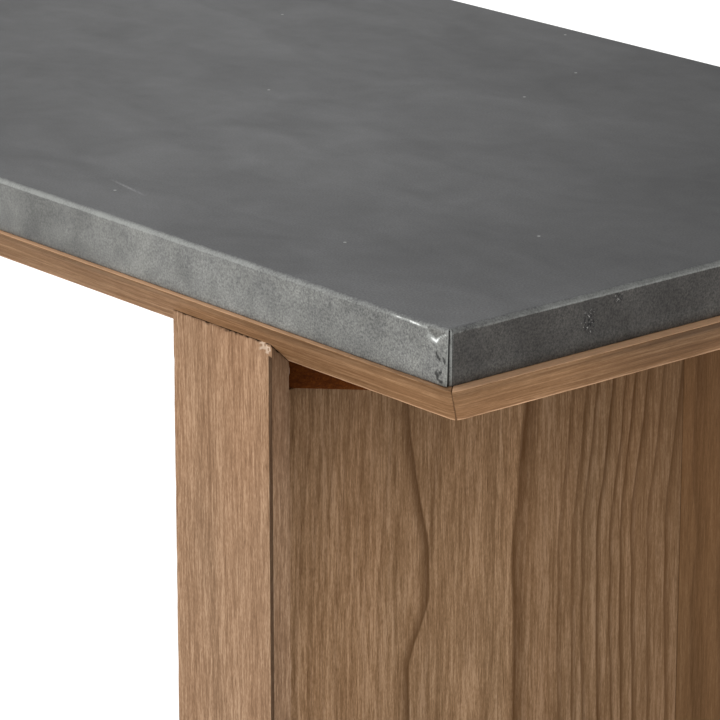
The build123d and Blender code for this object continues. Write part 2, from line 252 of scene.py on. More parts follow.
def wood(name, grain, pith, tones, seed, ring=4.5 * MM, figure=1.0, years=(), heart=None,
         streaks=1.6, swerve=(0.0, 0.0), shares=(0.18, 0.33, 0.29, 0.20), vein=None):
    """Solid wood cut from a log.

    grain is the axis of the fibres and pith a point on the log's centre. ring is the width of a
    year and figure its strength. years are (radius, width, strength) of the bold dark lines,
    which are faint on one side of the log, and heart the depths between which the other side
    darkens. swerve is where along the grain the log's centre starts to shift, and how much per
    metre. shares weigh specks, fine fibres, streaks and bands, and streaks is their contrast.
    vein is a path for knee(). The wear_and_highlight attribute rubs the wood light (on the frame's
    ledges also painted light), then shows fresh wood; dirt_and_shade darkens it, for dark joints,
    other dark marks and painted shade.
    """
    light, middle, dark, rubbed_and_lit = tones
    g = Graph(bpy.data.materials.new(name))
    fibre = log_axes(g, grain, pith)
    across, deep, along = g.node("ShaderNodeSeparateXYZ", {0: fibre}).outputs

    def layer(kind, low=0.0, high=1.0):
        """One of the LAYERS, spread to low..high."""
        wide, long, detail, shift = LAYERS[kind]
        stretched = g.scaled(fibre, (1 / wide, 1 / wide, 1 / long))
        field = g.noise(stretched, 1.0, detail, 0.6, w=seed + shift)
        return g.spread(field, LAYER_LOW, LAYER_HIGH, low, high)

    # The log's centre wanders along its length, and its years ripple
    shift = g.math("MAXIMUM", g.subtract(along, swerve[0]), 0.0)
    shift = g.multiply(shift, swerve[1])
    across = g.add(across, layer("wander across", -WANDER_ACROSS, WANDER_ACROSS))
    deep = g.add(deep, layer("wander deep", -WANDER_DEEP, WANDER_DEEP))
    upright = deep
    deep = g.add(deep, shift)
    square = g.add(g.multiply(across, across), g.multiply(deep, deep))
    radius = g.add(g.math("SQRT", square), layer("ripple", -RIPPLE, RIPPLE))

    # Year rings: a slow rise to a thin dark line, each year of its own strength
    count = g.math("DIVIDE", radius, ring)
    year = g.add(g.math("FLOOR", count), seed)
    strength = g.node("ShaderNodeTexWhiteNoise", {"W": year}, noise_dimensions="1D")
    late = g.between(g.math("FRACT", count), LATE_START, LATE_PEAK, 1.0)
    rings = g.multiply(late, g.spread(strength.outputs["Value"], 0.0, 1.0, 0.1, 1.0))

    # Fibres in four sizes, dark pores and pale flecks
    fine, streak, cloud = layer("fine"), layer("streak"), layer("cloud")
    pores = g.spread(layer("pore"), 0.72, 0.95)
    flecks = g.multiply(g.spread(layer("fleck"), 0.70, 0.95), cloud)
    fibres = 0.0
    for share, part in zip(shares, (layer("speck"), fine, streak, layer("band"))):
        fibres = g.add(fibres, g.multiply(part, share))
    half_range = 0.30 / streaks
    tone = g.mix(g.spread(fibres, 0.5 - half_range, 0.5), blend(middle, dark, 0.45), middle)
    tone = g.mix(g.spread(fibres, 0.5, 0.5 + half_range), tone, light)
    tone = g.mix(g.multiply(flecks, FLECK_SHARE * streaks), tone, times(light, 1.25))
    tone = g.mix(g.multiply(rings, RING_SHARE * figure), tone, dark)
    if years:
        fade = g.multiply(layer("fade", 0.75, 1.0), g.spread(deep, *YEARS_FADE, 0.3, 1.0))
        tone = g.mix(g.multiply(bold_years(g, radius, years), fade), tone, dark)
    if vein:
        strong = g.spread(streak, 0.0, 1.0, 0.6, 0.95)
        tone = g.mix(g.multiply(knee(g, upright, along, vein), strong), tone, dark)
    if heart:
        tone = g.mix(g.spread(deep, *heart, 0.0, 0.5), tone, blend(middle, dark, 0.8))
    tone = g.mix(g.multiply(pores, PORE_SHARE * streaks), tone, dark)
    tone = g.varied(tone, cloud, (0.93, 0.96, 0.98), (1.06, 1.03, 1.01))

    # The wear_and_highlight attribute rubs the wood light, and dirt_and_shade darkens it, painted shade
    # among its marks
    ragged = g.add(g.attribute("wear_and_highlight"), g.spread(fine, 0.0, 1.0, -0.25, 0.25))
    tone = g.mix(g.multiply(g.spread(ragged, 0.3, 1.0), RUBBED_SHARE), tone, rubbed_and_lit)
    tone = g.mix(g.spread(ragged, 1.4, 1.6), tone, FRESH_WOOD)
    tone = g.mix(g.attribute("dirt_and_shade"), tone, times(dark, 0.25))

    relief = g.subtract(g.multiply(fibres, 1.2), pores)
    relief = g.subtract(relief, g.multiply(rings, 0.4 * figure))
    rough = g.spread(streak, 0.0, 1.0, 0.76, 0.62)
    return g.finish(tone, rough, g.bump(relief, WOOD_RELIEF, 0.5), specular=0.05)


def knee(g, deep, along, path):
    """Mask of a dark vein that swings out and back as it climbs.

    path is the vein's depth, the low, peak and high ends of its swing, and how far it swings.
    """
    place, low, peak, high, swing = path
    swung = g.multiply(g.between(along, low, peak, high, "SMOOTHSTEP"), swing)
    away = g.subtract(deep, g.add(swung, place))
    return g.between(away, -VEIN_WIDTH, -0.3 * MM, 0.9 * MM)


def bold_years(g, radius, years):
    """Mask of the bold dark lines: sharp towards the log's centre, soft outwards."""
    mask = 0.0
    for line, width, strength in years:
        shade = g.between(radius, line - 0.7 * MM, line + 0.1 * MM, line + width)
        mask = g.math("MAXIMUM", mask, g.multiply(shade, strength))
    return mask


# ---- Metals and plastic ----
ZINC_TOP = ((0.130, 0.131, 0.133), (0.155, 0.156, 0.157))
ZINC_FLAP = ((0.170, 0.171, 0.163), (0.235, 0.236, 0.222))
# Tones of the end flaps in painted shade, standing for the shade on the bench's ends
ZINC_PAINTED_SHADE = ((0.044, 0.040, 0.036), (0.074, 0.069, 0.063))
# Tone of worn bends, which also stands for a painted highlight along them
ZINC_RUBBED_AND_HIGHLIGHT = (0.36, 0.37, 0.35)
# Painted highlight of the glint and the facet rims, and bare metal where the sheet is worn deepest
ZINC_HIGHLIGHT_AND_BARE = (0.85, 0.86, 0.84)
# Dark marks: scratches, and painted shade in the corner seams and on the sheet's inner face
ZINC_GRIME_AND_SHADE = (0.004, 0.004, 0.004)
ZINC_RELIEF = 0.10 * MM
# Small white marks on the top
LIME_SPACING, LIME_SIZE = 0.19, 0.6 * MM
LIME_TONE = (0.60, 0.60, 0.58)
# Straight scuff on the top: start, end and half width
SCUFF = ((394 * MM, -180 * MM, 0.45), (433 * MM, -186.5 * MM, 0.45), 1.4 * MM)
SCUFF_TONE = (0.42, 0.42, 0.42)
# Corrosion pits on the right end: centre and reach of each cluster
PIT_CLUSTERS = (
    ((cover_high.x, -136.6 * MM, 437.0 * MM), 6.5 * MM),
    ((cover_high.x, -119.0 * MM, 445.0 * MM), 3.2 * MM),
)
PIT_TONE = (0.003, 0.003, 0.003)
CRUMB_TONE = (0.42, 0.41, 0.39)


def patinated_zinc():
    """Dark aged zinc: cloudy on top, grainy on the flaps, bright along its bends from rubbing and
    painted highlights.
    """
    g = Graph(bpy.data.materials.new("patinated_zinc"))
    drift = g.clouds(g.scaled(g.coords, (1.0, 1.4, 1.0)), 4.5, 3.0, 0.5, 0.8)
    cloud = g.clouds(g.scaled(g.coords, (1.0, 1.6, 1.0)), 14.0, 4.0, 0.55, 0.6)
    smoke = g.clouds(g.coords, 45.0, 3.0, 0.5, 0.4)
    patch = g.clouds(g.coords, 85.0, 3.0, 0.6)
    blotch = g.clouds(g.coords, 60.0, 2.0, 0.5, 0.6)
    grit = g.clouds(g.coords, 1000.0, 2.0, 0.7)
    flat, grain, patina_and_light_falloff = g.attribute("flat"), g.attribute("grain"), g.attribute("patina_and_light_falloff")
    speckle = g.mix(grit, 0.0, 1.0)

    top = g.mix(drift, *ZINC_TOP)
    # Weathering clouds, and on top a painted light falloff that darkens the sheet towards the
    # right-back
    top = g.varied(top, patina_and_light_falloff, 0.50, 1.26)
    top = g.varied(top, cloud, 0.82, 1.15)
    top = g.varied(top, smoke, 0.89, 1.10)
    faint = g.mix(g.multiply(grain, 0.85), 0.5, speckle)
    top = g.varied(top, faint, 0.62, 1.38)
    top = g.mix(lime_marks(g), top, LIME_TONE)
    scuff = g.multiply(scuff_line(g, *SCUFF), g.spread(grit, 0.0, 0.8))
    top = g.mix(scuff, top, SCUFF_TONE)

    flap = g.mix(cloud, *ZINC_FLAP)
    # The shade attribute paints shade: on the end flaps, their bends round the corners and the hammered
    # facets
    flap = g.mix(g.attribute("shade"), flap, g.mix(cloud, *ZINC_PAINTED_SHADE))
    flap = g.varied(flap, patch, (0.86, 0.86, 0.87), (1.12, 1.12, 1.11))
    flap = g.varied(flap, patina_and_light_falloff, 0.74, 1.10)
    flap = g.varied(flap, blotch, 0.86, 1.12)
    flap = g.varied(flap, g.mix(grain, 0.5, speckle), (0.50, 0.50, 0.51), (1.55, 1.55, 1.53))
    tone = g.mix(flat, pitted(g, flap), top)

    rub = g.spread(g.add(grit, patch), 0.0, 2.0, -0.35, 0.35)
    ragged = g.add(g.attribute("wear_and_highlight"), rub)
    # Worn bends and edges turn light, partly a painted highlight on the bends
    tone = g.mix(g.multiply(g.spread(ragged, 0.25, 1.0), 0.75), tone, ZINC_RUBBED_AND_HIGHLIGHT)
    # Above 1.25 the sheet turns bright: painted highlights on the glint and the facet rims, and bare
    # metal
    tone = g.mix(g.spread(ragged, 1.25, 1.6), tone, ZINC_HIGHLIGHT_AND_BARE)
    # dirt_and_shade darkens the sheet: scratches, and painted shade in the seams and on the inner face
    tone = g.mix(g.attribute("dirt_and_shade"), tone, ZINC_GRIME_AND_SHADE)
    relief = g.add(g.multiply(patch, 0.5), g.multiply(grit, 0.5))
    relief = g.multiply(relief, g.subtract(1.0, flat))
    rough = g.add(g.multiply(smoke, 0.6), g.multiply(patch, 0.4))
    rough = g.spread(rough, 0.0, 1.0, 0.46, 0.58)
    return g.finish(tone, rough, g.bump(relief, ZINC_RELIEF, 0.35), metallic=0.4, specular=0.4)


def lime_marks(g):
    """Mask of small white dots, one to each cell of a wide Voronoi pattern."""
    inputs = {"Vector": g.coords, "Scale": 1 / LIME_SPACING}
    cells = g.node("ShaderNodeTexVoronoi", inputs, voronoi_dimensions="2D")
    size = LIME_SIZE / LIME_SPACING
    return g.spread(cells.outputs["Distance"], size, 1.6 * size, 0.8, 0.0)


def scuff_line(g, start, end, width):
    """Mask of a straight light scuff on the top, strongest in its middle."""
    run = Vector(end) - Vector(start)
    offset = g.vector("SUBTRACT", g.coords, start)
    along = g.vector("DOT_PRODUCT", offset, run / run.length_squared)
    aside = g.vector("DOT_PRODUCT", offset, Vector((-run.y, run.x, 0.0)).normalized())
    return g.multiply(g.between(aside, -width, 0.0, width), g.between(along, 0.0, 0.5, 1.0))


def pitted(g, tone):
    """Adds clusters of corrosion pits, each pit dark with a few bright crumbs beside it."""
    pits = g.spread(g.noise(g.coords, 620.0, 1.0, 0.5), 0.50, 0.56)
    crumbs = g.spread(g.noise(g.coords, 900.0, 1.0, 0.5, w=4.0), 0.64, 0.69)
    for centre, reach in PIT_CLUSTERS:
        near = g.spread(g.vector("DISTANCE", g.coords, centre), 0.35 * reach, reach, 1.0, 0.0)
        tone = g.mix(g.multiply(pits, near), tone, PIT_TONE)
        tone = g.mix(g.multiply(crumbs, near), tone, CRUMB_TONE)
    return tone


def plain_metal(name, tone, rough):
    """Turned or stamped metal with faint scratches and dull spots."""
    g = Graph(bpy.data.materials.new(name))
    spots = g.clouds(g.coords, 500.0, 4.0, 0.65)
    scratch = g.noise(g.scaled(g.coords, (3000.0, 3000.0, 300.0)), 1.0, 2.0)
    shade = g.mix(spots, times(tone, 0.6), tone)
    uneven = g.spread(spots, 0.0, 1.0, rough + 0.15, rough - 0.05)
    return g.finish(shade, uneven, g.bump(scratch, 0.03 * MM, 0.4), metallic=1.0)


def moulded_plastic(name, tone, scuffed):
    """Moulded nylon with a fine spark-eroded grain and scuffs."""
    g = Graph(bpy.data.materials.new(name))
    grain = g.noise(g.coords, 2500.0, 2.0)
    scuff = g.noise(g.coords, 220.0, 4.0, 0.7)
    shade = g.mix(g.spread(scuff, 0.5, 0.75), tone, scuffed)
    return g.finish(shade, g.spread(scuff, 0.3, 0.7, 0.45, 0.7), g.bump(grain, 0.03 * MM, 0.5))


# ---- Mesh building ----
SHARP_ANGLE = 50
# Quarter circle of an eased end, as shares of the ease: from the end, and in from the section
RIM = [(1 - math.cos(k * math.pi / 8), 1 - math.sin(k * math.pi / 8)) for k in range(4)]
RIM_WEAR = 0.7
# Hollows of hand-planed faces, and the nicks of their arrises
HOLLOW_SIZE = 90 * MM
NICKS_PER_METRE = 260
NICK_GATE, NICK_DEPTH = 0.12, 2.2


def make_piece(name, shape, material, node):
    """Adds a mesh piece that rides on the bench and stands for a CAD node.

    shape holds its points, its faces and its marks, which are named vertex values.
    """
    points, faces, marks = shape
    mesh = bpy.data.meshes.new(name)
    mesh.from_pydata([tuple(p) for p in points], [], faces)
    shell = bmesh.new()
    shell.from_mesh(mesh)
    bmesh.ops.recalc_face_normals(shell, faces=shell.faces)
    shell.to_mesh(mesh)
    shell.free()
    for key, values in marks.items():
        layer = mesh.attributes.new(key, "FLOAT", "POINT")
        layer.data.foreach_set("value", [float(v) for v in values])
    for polygon in mesh.polygons:
        polygon.use_smooth = True
    mesh.materials.append(material)
    piece = bpy.data.objects.new(name, mesh)
    scene.collection.objects.link(piece)
    mesh.set_sharp_from_angle(angle=math.radians(SHARP_ANGLE))
    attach(piece, "root")
    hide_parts(node)


def runs(low, high, step):
    """Stations from low to high, about step apart."""
    count = max(1, round(abs(high - low) / step))
    return [low + (high - low) * i / count for i in range(count + 1)]


def graded(low, high, step, zones, both=True):
    """Stations from low to high, step apart, and closer in zones of (depth from the end, spacing)."""
    start = (low + high) / 2 if both else low
    falling = [high]
    for depth, spacing in zones:
        falling = falling[:-1] + runs(falling[-1], high - depth, spacing)
    falling = falling[:-1] + runs(falling[-1], start, step)
    rising = falling[::-1]
    return [low + high - s for s in falling[:-1]] + rising if both else rising


def outline(corners, step, arc_steps=4):
    """Closed section with rounded corners, as (point, outward normal, edge share, corner number).

    corners are (x, y, radius), counter-clockwise. The edge share is 1 in the middle of a corner
    and 0 on the flats.
    """
    count = len(corners)
    arcs = []
    for i, (x, y, radius) in enumerate(corners):
        here = Vector((x, y))
        back = (Vector(corners[i - 1][:2]) - here).normalized()
        ahead = (Vector(corners[(i + 1) % count][:2]) - here).normalized()
        half = back.angle(ahead) / 2
        centre = here + (back + ahead).normalized() * radius / math.sin(half)
        start = Vector((back.y, -back.x))
        end = Vector((-ahead.y, ahead.x))
        if (here - centre).dot(start) < 0:
            start, end = -start, -end
        arc = []
        for k in range(arc_steps + 1):
            share = k / arc_steps
            outward = start.slerp(end, share)
            arc.append((centre + outward * radius, outward, 1 - abs(2 * share - 1), i))
        arcs.append(arc)
    section = []
    for i, arc in enumerate(arcs):
        section += arc
        first, last = arc[-1][0], arcs[(i + 1) % count][0][0]
        inner = max(1, round((last - first).length / step))
        for k in range(1, inner):
            section.append((first.lerp(last, k / inner), arc[-1][1], 0.0, i))
    return section


def bar(section, stations, place, ease, sculpt):
    """Sweeps a section along stations and closes both ends with an eased edge.

    place(x, y, s) gives the point for section point x, y at station s. sculpt(point, edge,
    corner) moves a point and returns it with its wear_and_highlight and dirt_and_shade values.
    """
    first, last = stations[0], stations[-1]
    clear = 1.05 * ease
    rings = [(first + ease * along, ease * inset, RIM_WEAR) for along, inset in RIM]
    rings += [(s, 0.0, 0.0) for s in stations if first + clear < s < last - clear]
    rings += [(last - ease * along, ease * inset, RIM_WEAR) for along, inset in reversed(RIM)]
    points, wear_and_highlight, dirt_and_shade = [], [], []
    for s, inset, end_share in rings:
        for flat, normal, edge, corner in section:
            spot = place(flat.x - normal.x * inset, flat.y - normal.y * inset, s)
            spot, worn, dark = sculpt(spot, max(edge, end_share), corner)
            points.append(spot)
            wear_and_highlight.append(worn)
            dirt_and_shade.append(dark)
    width = len(section)
    faces = []
    for start in range(0, width * (len(rings) - 1), width):
        for i in range(width):
            j = (i + 1) % width
            faces.append((start + i, start + j, start + width + j, start + width + i))
    faces.append(tuple(reversed(range(width))))
    faces.append(tuple(range(len(points) - width, len(points))))
    return points, faces, {"wear_and_highlight": wear_and_highlight, "dirt_and_shade": dirt_and_shade}


def sway(point, size, amount, seed=0.0):
    """Smooth pseudo-random offset, about -amount to amount, that changes over size."""
    spot = Vector((point.x / size + seed, point.y / size - seed, point.z / size + 2 * seed))
    return amount * noise.noise(spot)


def worn_arris(outward, seed, hollow=0.12 * MM, nick=0.5 * MM, rubbed_and_lit=None):
    """Gives a sculpt() for hand-planed faces and nicked arrises.

    outward(point) is the direction out of the piece. rubbed_and_lit gives how worn the flats
    that follow some corners are, on the frame's ledges with painted light as well.
    """
    rubbed_and_lit = rubbed_and_lit or {}

    def sculpt(point, edge, corner):
        push = sway(point, HOLLOW_SIZE, hollow, seed)
        spot = point * NICKS_PER_METRE + Vector((seed, 0, 0))
        bite = max(0.0, noise.noise(spot) - NICK_GATE) * edge
        moved = point + outward(point) * (push - bite * nick * NICK_DEPTH)
        return moved, max(rubbed_and_lit.get(corner, 0.0), min(1.0, edge * (0.35 + 2.2 * bite))), 0.0

    return sculpt


# ---- Zinc cover ----
SHEET = 0.9 * MM
# Radius of the bends between top and flaps, and of the end flap's bend round the corner
BEND = 2.2 * MM
SIDE_BEND = 1.3 * MM
# Places of a corner's path that belong to the long flap and the gap
GAP_PLACES = 7
# How far the long flaps' lower edges stand out, and how near the long side their points are
SPLAY, LONG_FLAP_DEPTH = 1.3 * MM, 1.45 * MM
# Reach of the dull bend beside a corner, on the end flaps and on the long flaps
DULL_END, DULL_LONG = 60 * MM, 0.22
# How far from the bench's ends the sheet is grainy, and its least grain
GRAINY_REACH, LEAST_GRAIN = 0.6, 0.3
# Sizes and seeds of the weathering clouds on top and on the flaps; on top the seed also paints a light
# falloff, darker towards the right-back
PATINA_AND_FALLOFF_SIZE, PATINA_AND_FALLOFF_SEED = 0.45, 214.97
FLAP_PATINA_SIZE, FLAP_PATINA_SEED = 0.12, 386.28
# Outline of the facet hammered flat beside a corner's seam, as (from the bench's end, below its
# top, half width of the rim's painted highlight, strength of that highlight)
FACET = (
    (*mm(14.8, 1.6, 0.6), 0.0),
    (*mm(12.6, 5.6, 2.6), 0.8),
    (*mm(8.0, 7.0, 1.7), 1.5),
    (*mm(5.6, 4.6, 0.6), 1.1),
    (*mm(1.2, 2.3, 0.6), 1.2),
)
# The facet's greatest depth, the slope of its sides and the painted shade of its inside
FACET_DEPTH, FACET_SLOPE, FACET_PAINTED_SHADE = 0.6 * MM, 0.25, 0.45
# Painted highlight: a bright dash on the bend beside the facet, its two ends as (from the end, below
# the top)
PAINTED_GLINT = (mm(38.0, 1.7), mm(14.5, 2.1))
PAINTED_GLINT_WIDTH = 0.9 * MM
# Strongest painted highlight a point of the sheet gets
MOST_PAINTED_SHINE = 1.7
# Scratches round the pins, as two places, each (from the end, below the top)
SCRATCHES = (
    (mm(7.7, 12.8), mm(5.2, 14.5)),
    (mm(3.0, 13.6), mm(2.1, 16.0)),
    (mm(7.8, 20.6), mm(6.7, 23.4)),
    (mm(6.7, 23.4), mm(3.6, 24.8)),
    (mm(4.5, 19.9), mm(6.7, 22.6)),
)
SCRATCH_WIDTH, SCRATCH_BLUR, SCRATCH_DIRT = 0.85 * MM, 0.45 * MM, 0.85


def flap_corner():
    """Plan of the sheet round a corner, as (back along the long flap, in from it, wear_and_highlight,
    painted shade).

    The long flap ends in a raw edge, an open gap in painted shade follows, then the end flap's own
    small bend.
    """
    path = [
        (0.80 * MM, 0.0, 0.5, 0.0),
        (0.55 * MM, 0.05 * MM, 1.0, 0.0),
        (0.45 * MM, 0.25 * MM, 1.0, 0.0),
        (0.45 * MM, 0.48 * MM, 0.2, 0.8),
        (1.40 * MM, 0.50 * MM, 0.0, 1.0),
        (1.40 * MM, 1.38 * MM, 0.0, 1.0),
        (0.95 * MM, 1.40 * MM, 0.0, 0.9),
    ]
    for k in range(5):
        turn = math.radians(25 + 65 * k / 4)
        back = SIDE_BEND - SIDE_BEND * math.sin(turn)
        inward = 1.50 * MM + SIDE_BEND - SIDE_BEND * math.cos(turn)
        path.append((back, inward, 0.75, 0.0))
    return path


def hem_corner(count):
    """The same plan for the sheet's inner face: count places round a square corner."""
    inner = BEND - SHEET
    square = []
    for k in range(count):
        share = 2 * k / (count - 1)
        back, inward = BEND - inner * min(1.0, share), BEND - inner * min(1.0, 2 - share)
        square.append((back, inward, 0.0, 0.0))
    return square


def cover_section():
    """Rows down from the flat top, as (outward offset, depth below the top, wear_and_highlight, is
    inside).

    They follow the bend, the flap's face, its rounded raw edge and the inner face back up.
    """
    deep = cover_high.z - cover_low.z
    rows = []
    for k in range(1, 7):
        turn = math.radians(15 * k)
        worn = min(1.15, 0.25 + 0.3 * k)
        rows.append((BEND * math.sin(turn), BEND * (1 - math.cos(turn)), worn, False))
    rows += [(BEND, z, 0.0, False) for z in runs(BEND + 0.6 * MM, deep - 0.6 * MM, 0.75 * MM)]
    rows += [
        (BEND, deep - 0.25 * MM, 0.6, False),
        (BEND - 0.1 * MM, deep - 0.07 * MM, 1.0, False),
        (BEND - 0.28 * MM, deep, 0.7, False),
        (BEND - SHEET + 0.1 * MM, deep, 0.3, False),
        (BEND - SHEET, deep - 0.1 * MM, 0.0, True),
        (BEND - SHEET, SHEET + 0.05 * MM, 0.0, True),
    ]
    return rows


def off_line(from_end, down, start, end):
    """Distance from a stroke on a flap, and how far along it, from 0 to 1."""
    run, fall = end[0] - start[0], end[1] - start[1]
    along = (run * (from_end - start[0]) + fall * (down - start[1])) / (run * run + fall * fall)
    along = max(0.0, min(1.0, along))
    return math.hypot(from_end - start[0] - along * run, down - start[1] - along * fall), along


def hammered(point, from_end, down):
    """Depth of the facet beaten flat beside the corner's seam, and the painted highlight on its rim and
    on the glint.
    """
    painted_shine, nearest = 0.0, 1.0
    ragged = sway(point, 0.9 * MM, 0.5 * MM, 4.0)
    for start, end in zip(FACET, FACET[1:]):
        away, along = off_line(from_end, down, start, end)
        width = start[2] + (end[2] - start[2]) * along + ragged
        glow = start[3] + (end[3] - start[3]) * along
        painted_shine = max(painted_shine, glow * max(0.0, 1 - away / max(width, 0.2 * MM)))
        nearest = min(nearest, away)
    left = (FACET[0][0] - from_end) / (FACET[0][0] - FACET[2][0]) * FACET[2][1]
    right = from_end / FACET[2][0] * FACET[2][1]
    depth = min(FACET_DEPTH, FACET_SLOPE * nearest) if down < min(left, right) else 0.0
    away, _ = off_line(from_end, down, *PAINTED_GLINT)
    glow = 1.3 + sway(point, 2.5 * MM, 0.7, 9.0)
    painted_shine = max(painted_shine, glow * max(0.0, 1 - away / PAINTED_GLINT_WIDTH))
    return depth, min(MOST_PAINTED_SHINE, painted_shine * 1.5)


def scratched(point, from_end, down):
    """Darkness of the scratches round the pins."""
    away = min(off_line(from_end, down, start, end)[0] for start, end in SCRATCHES)
    width = SCRATCH_WIDTH + sway(point, 0.8 * MM, 0.9 * MM, 7.0)
    return max(0.0, min(SCRATCH_DIRT, (width - away) / SCRATCH_BLUR))


def bend_wear_and_highlight(point, gap, reach):
    """Share of a bend's wear_and_highlight that shows: dull beside the corner, brighter up to reach
    from it.
    """
    return 0.32 + 0.44 * min(1.0, gap / reach) + sway(point, 0.03, 0.2, 12.0)


def painted_end_shade(out, depth):
    """Painted shade of an end flap, lightened towards its lower edge against the shade there. Long
    flaps have none.
    """
    above_edge = cover_high.z - depth - cover_low.z
    return abs(out[0]) * (1 - 0.35 * max(0.0, 1 - above_edge / (9 * MM)))


def border_loop(wide, tall, places):
    """Goes once round the border of the top's grid.

    Entries are (index of the border point, direction out, corner signs, place on the corner's
    path). Points of a side have no signs, and those of a corner no direction.
    """
    loop = []

    def add_side(indices, out):
        loop.extend((index, out, None, 0) for index in indices)

    def add_corner(index, sign_x, sign_y, order):
        loop.extend((index, None, (sign_x, sign_y), k) for k in order)

    last = (tall - 1) * wide
    add_side(range(wide), (0, -1))
    add_corner(wide - 1, 1, -1, range(places))
    add_side([r * wide + wide - 1 for r in range(tall)], (1, 0))
    add_corner(last + wide - 1, 1, 1, reversed(range(places)))
    add_side([last + c for c in reversed(range(wide))], (0, 1))
    add_corner(last, -1, 1, range(places))
    add_side([r * wide for r in reversed(range(tall))], (-1, 0))
    add_corner(0, -1, -1, reversed(range(places)))
    return loop


def zinc_cover(material):
    """The folded cover: top, four bends, four flaps with raw edges, and open corner seams."""
    inset_x, inset_y = cover_high.x - BEND, cover_high.y - BEND
    xs = graded(-inset_x, inset_x, 6 * MM, (mm(15, 0.55), mm(32, 1.5)))
    ys = graded(-inset_y, inset_y, 6 * MM, (mm(6, 0.7), mm(14, 1.5)))
    points = [Vector((x, y, cover_high.z)) for y in ys for x in xs]
    wear_and_highlight, dirt_and_shade, shade = ([0.0] * len(points) for _ in range(3))
    flat = [1.0] * len(points)
    wide, tall = len(xs), len(ys)
    faces = []
    for start in range(0, wide * (tall - 1), wide):
        for c in range(start, start + wide - 1):
            faces.append((c, c + 1, wide + c + 1, wide + c))

    flap_path = flap_corner()
    hem_path = hem_corner(len(flap_path))
    loop = border_loop(wide, tall, len(flap_path))
    above = [entry[0] for entry in loop]
    for offset, depth, worn, inside in cover_section():
        row = list(range(len(points), len(points) + len(loop)))
        for index, out, signs, k in loop:
            start = points[index]
            z = cover_high.z - depth
            if signs is None:
                spot = Vector((start.x + out[0] * offset, start.y + out[1] * offset, z))
                if out[0]:
                    rubbed_and_lit = bend_wear_and_highlight(spot, cover_high.y - abs(start.y), DULL_END)
                else:
                    rubbed_and_lit = bend_wear_and_highlight(spot, cover_high.x - abs(start.x), DULL_LONG)
                here_wear_and_highlight, here_seam_shade, here_painted_shade = worn * rubbed_and_lit, 0.0, painted_end_shade(out, depth)
            else:
                back, inward, edge, dark = (hem_path if inside else flap_path)[k]
                share = 1.0 if inside else offset / BEND
                x = start.x + signs[0] * (BEND - back) * share
                y = start.y + signs[1] * (BEND - inward) * share
                spot = Vector((x, y, z))
                here_wear_and_highlight, here_seam_shade = max(worn, edge), dark * (1.0 if depth > 0.5 * BEND else 0.4)
                # The end flap's own bend round the corner gets half the end flaps' painted shade
                here_painted_shade = 0.5 if k >= GAP_PLACES else 0.0
            points.append(spot)
            wear_and_highlight.append(0.0 if inside else here_wear_and_highlight)
            # Points on the sheet's hidden inner face get full dirt_and_shade: painted shade
            dirt_and_shade.append(1.0 if inside else here_seam_shade)
            flat.append(max(0.0, 1 - depth / BEND))
            shade.append(here_painted_shade * min(1.0, depth / BEND))
        for i in range(len(loop)):
            j = (i + 1) % len(loop)
            quad = [above[i], row[i], row[j], above[j]]
            ring = [v for n, v in enumerate(quad) if v != quad[n - 1]]
            if len(ring) > 2:
                faces.append(tuple(ring))
        above = row
    faces.append(tuple(above))

    shaped = [sculpt_sheet(point, i, flat, wear_and_highlight, dirt_and_shade, shade) for i, point in enumerate(points)]
    patina_and_light_falloff = [patina_and_painted_falloff(point, hold) for point, hold in zip(shaped, flat)]
    grain = [max(LEAST_GRAIN, 1.0 - (cover_high.x - abs(p.x)) / GRAINY_REACH) for p in shaped]
    marks = {"wear_and_highlight": wear_and_highlight, "dirt_and_shade": dirt_and_shade, "flat": flat, "shade": shade, "patina_and_light_falloff": patina_and_light_falloff}
    marks["grain"] = grain
    make_piece("zinc_cover_sheet", (shaped, faces, marks), material, "zinc_cover")


def patina_and_painted_falloff(point, flat):
    """Slow change of tone from dark (0) to pale (1), in larger clouds on top than on the flaps. On top
    it is also a painted light falloff: its seed darkens the sheet towards the right-back.
    """
    top = 0.706 + sway(point, PATINA_AND_FALLOFF_SIZE, 0.95, PATINA_AND_FALLOFF_SEED)
    flap = 0.55 + sway(point, FLAP_PATINA_SIZE, 0.8, FLAP_PATINA_SEED)
    return max(0.0, min(1.0, top * flat + flap * (1 - flat)))


